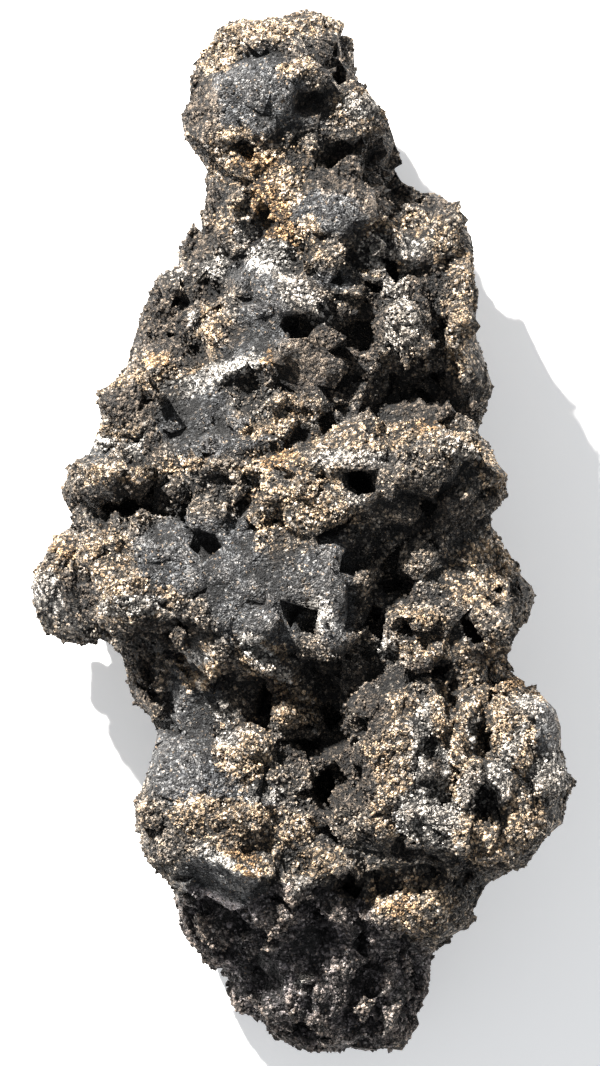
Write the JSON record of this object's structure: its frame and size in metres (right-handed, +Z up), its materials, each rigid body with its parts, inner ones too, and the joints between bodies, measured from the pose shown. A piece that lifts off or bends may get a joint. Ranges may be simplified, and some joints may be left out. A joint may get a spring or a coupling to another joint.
{
  "type": "lava rock",
  "caption": "Rough dark lava rock, long and lumpy, with ledges, a deep cleft and a flat broken back that it lies on.",
  "frame": {"origin": "middle of the rock's outline seen from above, on the surface that it lies on", "axes": "+Y from the foot to the crown along the rock's length, +Z up out of its weathered face, +X to the right"},
  "size_m": [0.1032, 0.1996, 0.0635],
  "materials": {
    "lava_stone": "rough, granular, dark grey with tan and ochre crusts"
  },
  "bodies": {
    "root": {"lava_rock": "lava_stone"}
  },
  "joints": []
}
